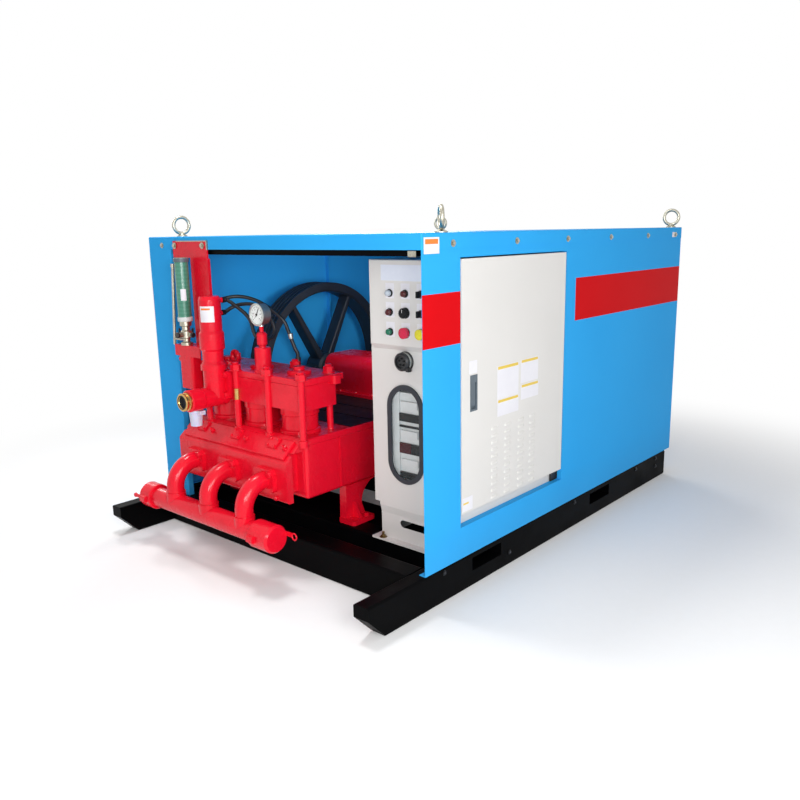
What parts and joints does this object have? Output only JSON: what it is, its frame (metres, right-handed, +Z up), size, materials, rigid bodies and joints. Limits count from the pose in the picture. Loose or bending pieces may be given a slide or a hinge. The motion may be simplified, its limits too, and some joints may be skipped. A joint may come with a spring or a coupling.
{
  "type": "jet grouting pump",
  "caption": "Skid-mounted jet grouting pump: red triplex plunger pump and black flywheel under a blue sheet hood, with a cream control cabinet, suction manifold and lifting eyes.",
  "frame": {"origin": "middle of the whole set's footprint on the floor, under the skid", "axes": "+Z up; -Y towards the open end where the pump's fluid end stands; +X towards the cabinet door's side"},
  "size_m": [1.6859, 2.556, 1.4905],
  "materials": {
    "skid_black": "gloss black paint on welded box section",
    "hood_blue": "semi-gloss sky blue paint on sheet steel with a red band",
    "zinc_steel": "zinc plated",
    "cabinet_cream": "satin cream powder coat",
    "hinge_steel": "plated",
    "handle_grey": "moulded dark grey",
    "pump_red": "thick gloss red paint on castings",
    "brass": "machined",
    "gauge_steel": "stainless case with a white dial",
    "wheel_black": "black painted cast iron",
    "shaft_steel": "ground",
    "motor_grey": "grey machine paint",
    "belt_rubber": "matt",
    "gasket_rubber": "extruded black gasket",
    "clear_pane": "clear acrylic",
    "breaker_plastic": "moulded cream with black toggles",
    "button_plastic": "bezels with coloured caps",
    "socket_black": "black socket with a plated ring",
    "cup_plastic": "translucent white",
    "hose_rubber": "smooth black hose",
    "tube_green": "translucent green"
  },
  "bodies": {
    "base": {"left_runner": "skid_black", "right_runner": "skid_black", "front_cross_beam": "skid_black", "pump_beams": "skid_black", "motor_beams": "skid_black", "rear_cross_beam": "skid_black", "fork_pockets": "skid_black", "front_roof_rail": "skid_black", "door_hinges": "hinge_steel", "left_front_panel": "hood_blue", "left_rear_panel": "hood_blue", "right_front_post": "hood_blue", "door_lintel": "hood_blue", "door_sill": "hood_blue", "door_jamb": "hood_blue", "right_rear_panel": "hood_blue", "rear_panel": "hood_blue", "left_front_return": "hood_blue", "roof_panel": "hood_blue", "lifting_eyes": "zinc_steel", "tube_fitting": "zinc_steel", "control_cabinet": "cabinet_cream", "cabinet_plinth": "cabinet_cream", "control_panel": "cabinet_cream", "cabinet_front_cover": "cabinet_cream", "window_gasket": "gasket_rubber", "window_pane": "clear_pane", "switchgear": "breaker_plastic", "panel_buttons": "button_plastic", "power_socket": "socket_black", "drip_cup": "cup_plastic", "control_hoses": "hose_rubber", "power_frame": "pump_red", "crankcase_cover": "pump_red", "shaft_bearing_housing": "pump_red", "fluid_end_body": "pump_red", "valve_cylinders": "pump_red", "upper_valve_block": "pump_red", "clamp_studs": "pump_red", "discharge_tee": "pump_red", "relief_valve": "pump_red", "gauge_stem": "pump_red", "suction_manifold": "pump_red", "suction_risers": "pump_red", "manifold_caps": "pump_red", "tube_bracket": "pump_red", "outlet_union": "brass", "pressure_gauge": "gauge_steel", "motor_pulley": "wheel_black", "drive_motor": "motor_grey", "motor_base": "motor_grey", "drive_belts": "belt_rubber", "reservoir_tube": "tube_green"},
    "door": {"cabinet_door": "cabinet_cream", "door_handle": "handle_grey"},
    "flywheel": {"flywheel": "wheel_black", "flywheel_shaft": "shaft_steel"}
  },
  "joints": [
    {"name": "cabinet_door_hinge", "type": "hinge", "parent": "base", "child": "door", "pos_m": [0.829, 0.011, 0.808], "axis": [0, 0, 1], "range_deg": [0, 110]},
    {"name": "flywheel_spin", "type": "hinge", "parent": "base", "child": "flywheel", "pos_m": [-0.68, -0.021, 0.655], "axis": [1, 0, 0], "continuous": true}
  ]
}
